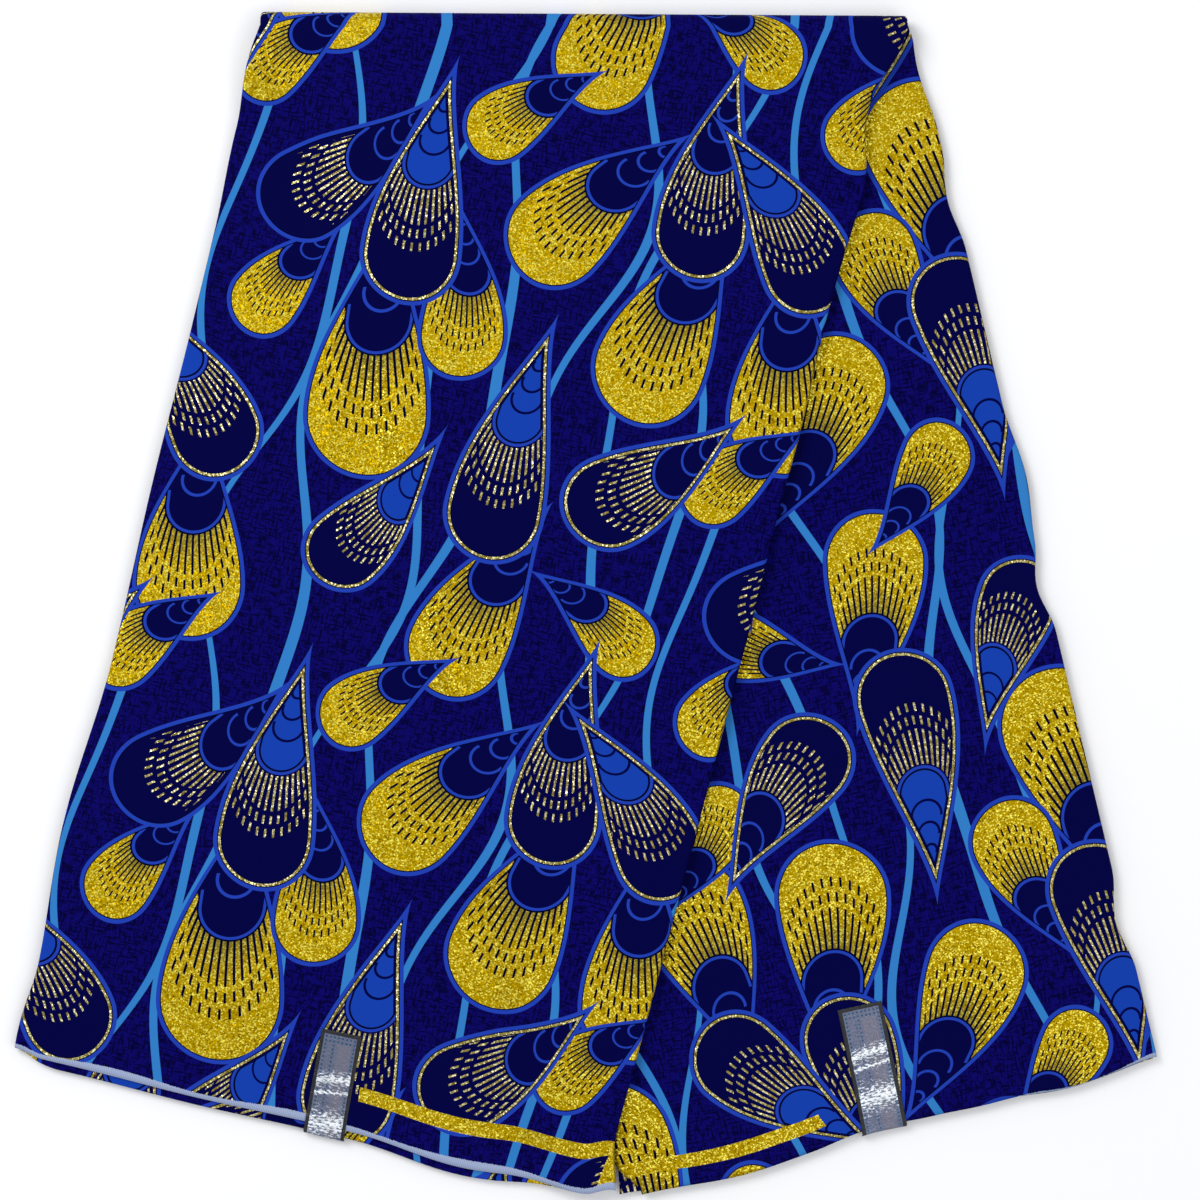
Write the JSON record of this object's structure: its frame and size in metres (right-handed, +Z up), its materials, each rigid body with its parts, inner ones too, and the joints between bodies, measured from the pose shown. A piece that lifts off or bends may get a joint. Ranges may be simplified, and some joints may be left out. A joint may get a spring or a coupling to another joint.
{
  "type": "folded wax print fabric length",
  "caption": "Length of printed cotton folded into a flat narrow pile and once across, its two falls fanned out below a straight top fold, with foil labels over the hems.",
  "frame": {"origin": "centre of the footprint, at the underside that rests", "axes": "+Y from the hems to the top fold, +Z up out of the cloth, the front fall to -X"},
  "size_m": [0.607, 0.6304, 0.0148],
  "materials": {
    "cotton": "matte printed cotton",
    "foil": "crinkled silver foil"
  },
  "bodies": {
    "root": {"hidden_layers": "cotton", "front_stretch": "cotton", "right_stretch": "cotton", "front_second_leaf": "cotton", "right_second_leaf": "cotton", "front_label": "foil", "right_label": "foil"}
  },
  "joints": []
}
